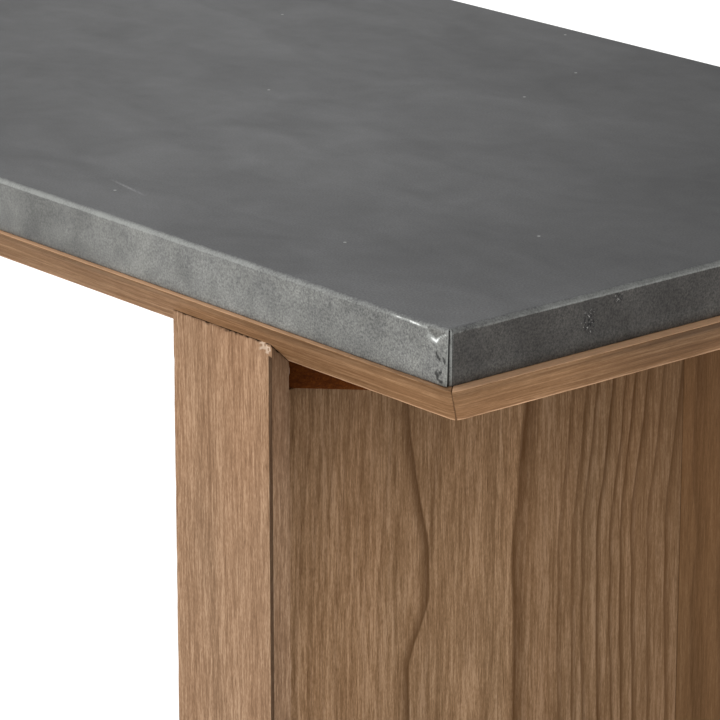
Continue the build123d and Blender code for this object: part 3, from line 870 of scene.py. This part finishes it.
def sculpt_sheet(point, index, flat, wear_and_highlight, dirt_and_shade, shade):
    """Dishes the top, ripples the flaps, hammers the corners and scars the sheet at the pins.

    It gives the moved point and updates the point's wear_and_highlight, dirt_and_shade and painted
    shade.
    """
    from_end, from_long = cover_high.x - abs(point.x), cover_high.y - abs(point.y)
    down = cover_high.z - point.z
    moved = point.copy()
    # The dish fades out within 25 mm of the edges
    moved.z -= abs(sway(point, 0.17, 0.16 * MM, 3.0)) * min(1.0, 40 * min(from_end, from_long))
    if from_long < LONG_FLAP_DEPTH:
        held = 0.6 + 0.4 * min(1.0, from_end / (60 * MM))
        stand = SPLAY * held * down / (cover_high.z - cover_low.z)
        moved.y += math.copysign(stand, point.y)
    if flat[index] == 1.0 or down < 0.2 * MM or dirt_and_shade[index] == 1.0:
        return moved
    ripple = abs(sway(point, 0.05, 0.14 * MM, 8.0) + sway(point, 0.012, 0.05 * MM, 5.0))
    if from_long < 0.1 * BEND:
        depth, painted_shine = hammered(point, from_end, down)
        moved.y -= math.copysign(ripple + depth, point.y)
        # The facet rims and the glint are painted highlights, put into the wear_and_highlight attribute
        wear_and_highlight[index] = max(wear_and_highlight[index] * (1.0 if from_end > FACET[0][0] else 0.6), painted_shine)
        if depth:
            shade[index] = FACET_PAINTED_SHADE
        dirt_and_shade[index] = max(dirt_and_shade[index], scratched(point, from_end, down))
    elif from_end < 0.1 * BEND:
        moved.x -= math.copysign(ripple, point.x)
    return moved


# ---- Mitred frame ----
LIP = 0.3 * MM
# Size and seed of painted shade patches along the bevels
FRAME_SHADE_PATCH_SIZE, FRAME_SHADE_PATCH_SEED = 0.15, 551.29
# Each mitre's outer corner is eased by this much, fading out over this distance from the joint
CORNER_EASE, CORNER_REACH = 0.9 * MM, 7 * MM
MITRE_GAP, MITRE_DIRT = 0.45 * MM, 0.42
# Darker band just under the bevel's top edge: its depth below the edge, spread and strength
DARK_BAND_DEPTH, DARK_BAND_SPREAD, DARK_BAND = 3.2 * MM, 4.5 * MM, 0.26
# Rubbed strip along the bevel's lower arris
ARRIS_WIDTH = 2.6 * MM
# The ledges of the long members are duller and darker within this distance of their ends
LEDGE_REACH = 160 * MM


def frame_member(name, along, side, material):
    """One frame member. along is the axis it follows, side the sign of the side it stands on."""
    half, reach = (half_depth, half_length) if along == "X" else (half_length, half_depth)
    corners = [
        (half, frame_top, 0.12 * MM),
        (half - frame_width, frame_top, 0.5 * MM),
        (half - frame_width, frame_bottom, 0.8 * MM),
        (half - bevel_run, frame_bottom, 0.8 * MM),
        (half, frame_top - LIP, 0.12 * MM),
    ]

    def place(out, z, s):
        mitred = s / reach * (reach - (half - out))
        return Vector((mitred, side * out, z)) if along == "X" else Vector((side * out, mitred, z))

    def outside(point):
        """How far out of the bench's middle a point is, and whether it is on the bevel."""
        out = abs(point.y) if along == "X" else abs(point.x)
        return out, out > half - bevel_run - 1 * MM and point.z < frame_top - LIP

    def outward(point):
        if not outside(point)[1]:
            return Vector((0.0, 0.0, 0.0))
        sideways = (0, side, -1) if along == "X" else (side, 0, -1)
        return Vector(sideways).normalized()

    # The ledges, the flats after corner 0, get full rubbed_and_lit: worn wood, and painted light
    # against the shade under the zinc
    planed = worn_arris(outward, 3.1 + reach + side, rubbed_and_lit={0: 1.0})

    def sculpt(point, edge, corner):
        moved, worn, dark = planed(point, edge, corner)
        from_end = half_length - abs(point.x)
        off_mitre = abs(from_end - (half_depth - abs(point.y)))
        eased = CORNER_EASE * max(0.0, 1 - off_mitre / CORNER_REACH) ** 2
        moved -= Vector((math.copysign(eased, point.x), math.copysign(eased, point.y), 0.0))
        if off_mitre < MITRE_GAP:
            return moved, 0.0, MITRE_DIRT
        out, bevelled = outside(point)
        if bevelled:
            below = half - out
            # Painted shade patches along the bevel, and a darker band under its top edge
            patch = max(0.0, 0.18 - sway(point, FRAME_SHADE_PATCH_SIZE, 0.8, FRAME_SHADE_PATCH_SEED))
            dark = max(dark, DARK_BAND * max(0.0, 1 - abs(below - DARK_BAND_DEPTH) / DARK_BAND_SPREAD) + patch)
            arris = 0.95 * max(0.0, 1 - (bevel_run - below) / ARRIS_WIDTH)
            worn = max(worn, arris + sway(point, 0.02, 0.3, 6.0))
        elif along == "X":
            gap = min(1.0, from_end / LEDGE_REACH)
            worn, dark = worn * (0.5 + 0.5 * gap), max(dark, 0.14 * (1 - gap))
        return moved, max(0.0, worn), max(0.0, dark)

    section = outline(corners, 1.6 * MM)
    stations = graded(-reach, reach, 5 * MM, (mm(1.4, 0.45), mm(12, 2.5)))
    shape = bar(section, stations, place, 0.4 * MM, sculpt)
    make_piece(f"{name}_rail", shape, material, name)


# ---- Legs ----
# Chips out of the cap's top corner: from its right edge, below its top, radius
CHIPS = (
    mm(6.0, 2.6, 2.4),
    mm(4.2, 1.8, 2.0),
    mm(1.8, 3.6, 1.5),
)
# Radii of a cap's front and back arrises
CAP_SOFT, CAP_CRISP = 1.3 * MM, 0.8 * MM
# Darkening of a cap: a ragged band at its top, a line on its outer arris, and a strip behind that arris
TOP_DARKENING, ARRIS_DARKENING, SIDE_DARKENING = 0.80, 0.82, 0.14
# Dark joint between the two boards of a web
JOINT_WIDTH, JOINT_DIRT = 1 * MM, 0.42
# Painted shade under the seat, darkest at the tops of the leg boards, as painted_shade_under_seat()
# takes it
CAP_PAINTED_SHADE = (0.60, 110 * MM, 1.3)
WEB_PAINTED_SHADE = (0.47, 160 * MM, 1.9)
# Half width of the mounting plate's pointed ends
POINT_HALF = 8.6 * MM


def unmoved(point):
    """Direction for worn_arris() that leaves a face as it is."""
    return Vector((0.0, 0.0, 0.0))


def upright(x, y, s):
    """Places a section so that its stations go up."""
    return Vector((x, y, s))


def rectangle(low_x, high_x, low_y, high_y, radii):
    """Counter-clockwise corners from the low corner, with one radius each."""
    spots = ((low_x, low_y), (high_x, low_y), (high_x, high_y), (low_x, high_y))
    return [(x, y, radius) for (x, y), radius in zip(spots, radii)]


def painted_shade_under_seat(below, amount, reach, fall):
    """Painted shade under the seat: amount at the top, none at reach below, steeper for a high fall."""
    return amount * max(0.0, 1 - below / reach) ** fall


def cap(leg, side, end, material):
    """End board of a leg, its top scribed to the bevel. side is the leg's, end -1 at the front."""
    node = f"{leg}_cap_{'front' if end < 0 else 'back'}"
    low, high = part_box(node)
    radii = (CAP_SOFT, CAP_SOFT, CAP_CRISP, CAP_CRISP)
    front, inner = low.y, high.y
    if end > 0:
        radii, front, inner = radii[::-1], high.y, low.y
    section = outline(rectangle(low.x, high.x, low.y, high.y, radii), 1.5 * MM, 8)
    rise = (high.z - frame_bottom) / (high.y - low.y)

    def place(x, y, s):
        top = frame_bottom + abs(y - inner) * rise
        return Vector((x, y, low.z + (s - low.z) * (top - low.z) / (frame_bottom - low.z)))

    def outward(point):
        return Vector((0.0, float(end), 0.0))

    planed = worn_arris(outward, 1.7 + side + 3 * end, 0.1 * MM)

    def chipped(point, moved, worn, dark):
        """Breaks the chips out of the top corner and shows fresh wood in them."""
        for from_edge, fallen, radius in CHIPS:
            centre = Vector((high.x - from_edge, front, high.z - fallen))
            away = (point - centre).length + sway(point, 1.6 * MM, 1.1 * MM, 2.0)
            if away < radius:
                moved -= outward(point) * min(0.7 * MM, 0.6 * (radius - away))
                worn, dark = (2.0, 0.0) if away > 0.45 * radius else (0.5, 0.3)
        return moved, worn, max(0.0, dark)

    def sculpt(point, edge, corner):
        moved, worn, dark = planed(point, edge, corner)
        below = frame_bottom + abs(point.y - inner) * rise - point.z
        behind = abs(point.y - front) - CAP_SOFT
        outer = (point.x - (low.x + high.x) / 2) * side > 0
        band_edge = sway(point, 2.6 * MM, 1.7 * MM, 6.0) + sway(point, 1.0 * MM, 0.8 * MM, 1.0)
        dark = max(0.0, TOP_DARKENING - (below - max(0.0, band_edge)) / (1.2 * MM))
        if outer and behind < 0 and edge > 0.1 and below > 6 * MM:
            worn, dark = 0.0, max(dark, ARRIS_DARKENING)
        # Painted shade under the seat on the cap's faces, and a darker strip behind its outer arris
        if behind > 0:
            dark = max(dark, painted_shade_under_seat(below, *CAP_PAINTED_SHADE))
            if outer:
                dark = max(dark, SIDE_DARKENING * max(0.0, 1 - behind / (4.5 * MM)))
        return chipped(point, moved, worn, dark)

    stations = graded(low.z, frame_bottom, 6 * MM, (mm(14, 0.7), mm(28, 2)), False)
    shape = bar(section, stations, place, 0.8 * MM, sculpt)
    make_piece(f"{node}_board", shape, material, node)


def web_board(leg, side, part, material):
    """One upright board of a leg's web."""
    node = f"{leg}_web_{part}"
    low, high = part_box(node)
    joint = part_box(f"{leg}_web_wide")[1].y
    section = outline(rectangle(low.x, high.x, low.y, high.y, (0.35 * MM,) * 4), 2.4 * MM, 3)

    def outward(point):
        return Vector((math.copysign(1.0, point.x - (low.x + high.x) / 2), 0.0, 0.0))

    planed = worn_arris(outward, 9.3 + side, 0.16 * MM, 0.2 * MM)

    def sculpt(point, edge, corner):
        moved, worn, dark = planed(point, edge, corner)
        if edge and abs(point.y - joint) < JOINT_WIDTH:
            worn, dark = 0.0, JOINT_DIRT
        # Painted shade under the seat darkens the web towards its top
        return moved, worn, max(dark, painted_shade_under_seat(high.z - point.z, *WEB_PAINTED_SHADE))

    shape = bar(section, runs(low.z, high.z, 6 * MM), upright, 0.5 * MM, sculpt)
    make_piece(f"{node}_board", shape, material, node)


def mounting_plate(leg, material):
    """Plate between web and seat, its corners cut at 45 degrees."""
    node = f"{leg}_mounting_plate"
    low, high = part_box(node)
    centre = (low.x + high.x) / 2
    half = high.x - centre
    shoulder = high.y - (half - POINT_HALF)
    right = [(POINT_HALF, low.y), (half, -shoulder), (half, shoulder), (POINT_HALF, high.y)]
    spots = right + [(-x, y) for x, y in reversed(right)]
    section = outline([(centre + x, y, 0.6 * MM) for x, y in spots], 5 * MM, 3)
    stations = runs(low.z, high.z, 4 * MM)
    shape = bar(section, stations, upright, 0.6 * MM, worn_arris(unmoved, 4.4))
    make_piece(f"{node}_block", shape, material, node)


def batten(name, material):
    """Cross batten between the long frame members."""
    low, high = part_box(name)
    section = outline(rectangle(low.x, high.x, low.z, high.z, (0.8 * MM,) * 4), 5 * MM, 3)

    def place(x, z, s):
        return Vector((x, s, z))

    stations = runs(low.y, high.y, 6 * MM)
    shape = bar(section, stations, place, 0.3 * MM, worn_arris(unmoved, 6.2))
    make_piece(f"{name}_board", shape, material, name)


# ---- Assembly ----
# Frame members: name, axis, side and the centre of its log
RAILS = (
    ("frame_front", "X", -1, (0.0, -0.16, 0.36)),
    ("frame_back", "X", 1, (0.0, 0.30, 0.50)),
    ("frame_left", "Y", -1, (-0.60, 0.0, 0.34)),
    ("frame_right", "Y", 1, (0.74, 0.0, 0.47)),
)
FRAME_SHARES = (0.12, 0.24, 0.28, 0.36)
# Bold years of the wide boards: radius from the log's centre, width and strength
WIDE_YEARS = (
    (*mm(57.5, 8.0), 0.88),
    (*mm(58.0, 56.0), 0.28),
    (*mm(77.5, 3.2), 0.70),
    (*mm(85.0, 4.0), 0.74),
    (*mm(91.0, 3.2), 0.80),
    (*mm(100.5, 3.2), 1.00),
    (*mm(108.5, 2.8), 0.86),
    (*mm(114.8, 3.0), 1.00),
    (*mm(122.7, 3.8), 0.96),
    (*mm(133.0, 3.8), 0.76),
    (*mm(145.3, 4.4), 0.92),
)
WIDE_HEART = mm(25, 140)
WIDE_SWERVE = (10 * MM, -0.115)
WIDE_VEIN = mm(-41, -44, -6, 96, 13)
# Offsets of the log's centre from the board's face and from its middle
WIDE_PITH = (50 * MM, -70 * MM, 0.26)
NARROW_PITH = (-0.2, 0.16, 0.26)
CAP_PITH = (0.3, 0.24, 0.2)


def build_seat(zinc):
    zinc_cover(zinc)
    for seed, (name, along, side, pith) in enumerate(RAILS):
        grain = wood(f"{name}_wood", along, pith, FRAME_TONES, 11.0 + seed, 7 * MM, 0.6,
                     streaks=1.5, shares=FRAME_SHARES)
        frame_member(name, along, side, grain)
    for seed, name in enumerate(("batten_left", "batten_centre", "batten_right")):
        pith = (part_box(name)[0].x - 0.05, 0, 0.35)
        batten(name, wood(f"{name}_wood", "Y", pith, FRAME_TONES, 21.0 + seed))


def build_leg(leg, side):
    low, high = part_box(f"{leg}_web_wide")
    middle = (low.x + high.x) / 2
    face = high.x if side > 0 else low.x
    pith = (face - side * WIDE_PITH[0], *WIDE_PITH[1:])
    wide = wood(f"{leg}_wide_wood", "Z", pith, WEB_TONES, 31.0 + side, 4.2 * MM, 0.35, WIDE_YEARS,
                heart=WIDE_HEART, swerve=(WIDE_SWERVE[0], WIDE_SWERVE[1] * side), vein=WIDE_VEIN)
    web_board(leg, side, "wide", wide)
    pith = (middle + NARROW_PITH[0], *NARROW_PITH[1:])
    narrow = wood(f"{leg}_narrow_wood", "Z", pith, NARROW_TONES, 35.0 + side, 6.0 * MM, 0.8,
                  streaks=0.8)
    web_board(leg, side, "narrow", narrow)
    for end in SIDES:
        pith = (middle + CAP_PITH[0], end * CAP_PITH[1], CAP_PITH[2])
        seed = 41.0 + side + 3 * end
        grain = wood(f"{leg}_cap{end}_wood", "Z", pith, CAP_TONES, seed, 2.6 * MM, 0.25)
        cap(leg, side, end, grain)
    pith = (middle, 0, 0.30)
    # The mounting plate gets very dark tones: painted shade for the deep shade under the seat
    plate = wood(f"{leg}_plate_shaded_wood", "Y", pith, PLATE_SHADE_TONES, 51.0 + side, 3 * MM, 0.6)
    mounting_plate(leg, plate)


def dress_hidden_parts(zinc):
    """Procedural finishes for the CAD nodes that stay as they are."""
    black, scuffed = (0.02, 0.02, 0.02), (0.08, 0.08, 0.08)
    finishes = {
        "zinc": zinc,
        "steel": plain_metal("plated_steel", (0.50, 0.50, 0.49), 0.35),
        "brass": plain_metal("turned_brass", (0.62, 0.44, 0.19), 0.3),
        "glide_plastic": moulded_plastic("black_nylon", black, scuffed),
        "core_wood": wood("core_ply", "X", (0, 0.02, 0.30), RAW_TONES, 61.0, 6 * MM, 0.5),
        "joint_wood": wood("beech_joints", "X", (0, 0.05, 0.30), RAW_TONES, 63.0, 3 * MM, 0.4),
    }
    slots = {row["node"]: row["material_slot"] for row in frame["record"]["subparts"]}
    for name, node in frame["nodes"].items():
        if not node.hide_render:
            node.data.materials.clear()
            node.data.materials.append(finishes[slots[name]])


# ---- Studio ----
FLOOR_HALF = 40.0
FLOOR_TONE = (0.35, 0.35, 0.35, 1.0)
FLOOR_GLOW = 1.0
# Direction of the tent's bright side, and its light on the dim and the bright side
TENT_FROM = (-0.62, -0.72, 0.31)
TENT_DIM, TENT_BRIGHT = 0.18, 1.30
# Key light: place, the point it faces, size and watts
KEY_PLACE = Vector((-1.6, -3.2, 2.2))
KEY_TARGET = Vector((0.4, 0.0, 0.4))
KEY_SIZE, KEY_POWER = 1.8, 20


def make_floor():
    """Wide floor that glows white, shows only the deepest shade and is clear from below."""
    mesh = bpy.data.meshes.new("floor")
    corners = ((-1, -1), (1, -1), (1, 1), (-1, 1))
    mesh.from_pydata([(x * FLOOR_HALF, y * FLOOR_HALF, 0) for x, y in corners], [], [(0, 1, 2, 3)])
    floor = bpy.data.objects.new("floor", mesh)
    scene.collection.objects.link(floor)
    g = Graph(bpy.data.materials.new("floor_paint"))
    matt = g.node("ShaderNodeBsdfPrincipled", {
        "Base Color": FLOOR_TONE,
        "Roughness": 1.0,
        "Specular IOR Level": 0.0,
        "Emission Color": (1.0, 1.0, 1.0, 1.0),
        "Emission Strength": FLOOR_GLOW,
    })
    clear = g.node("ShaderNodeBsdfTransparent")
    behind = g.node("ShaderNodeNewGeometry").outputs["Backfacing"]
    sides = {0: behind, 1: matt.outputs[0], 2: clear.outputs[0]}
    g.output("ShaderNodeOutputMaterial", g.node("ShaderNodeMixShader", sides))
    mesh.materials.append(g.owner)


def make_lights():
    """A white tent, brightest in front and to the left, and one soft key light."""
    g = Graph(bpy.data.worlds.new("studio"), "Generated")
    facing = g.vector("DOT_PRODUCT", g.coords, TENT_FROM)
    glow = g.spread(facing, -0.75, 0.9, TENT_DIM, TENT_BRIGHT)
    g.output("ShaderNodeOutputWorld", g.node("ShaderNodeBackground", {"Strength": glow}))
    scene.world = g.owner
    data = bpy.data.lights.new("key", "AREA")
    data.shape = "SQUARE"
    data.size = KEY_SIZE
    data.energy = KEY_POWER
    lamp = bpy.data.objects.new("key", data)
    lamp.location = KEY_PLACE
    lamp.rotation_euler = (KEY_TARGET - KEY_PLACE).to_track_quat("-Z", "Y").to_euler()
    scene.collection.objects.link(lamp)
    scene.view_settings.view_transform = "Standard"


make_camera()
make_lights()
make_floor()
zinc_finish = patinated_zinc()
build_seat(zinc_finish)
for leg_name, leg_side in LEGS:
    build_leg(leg_name, leg_side)
dress_hidden_parts(zinc_finish)
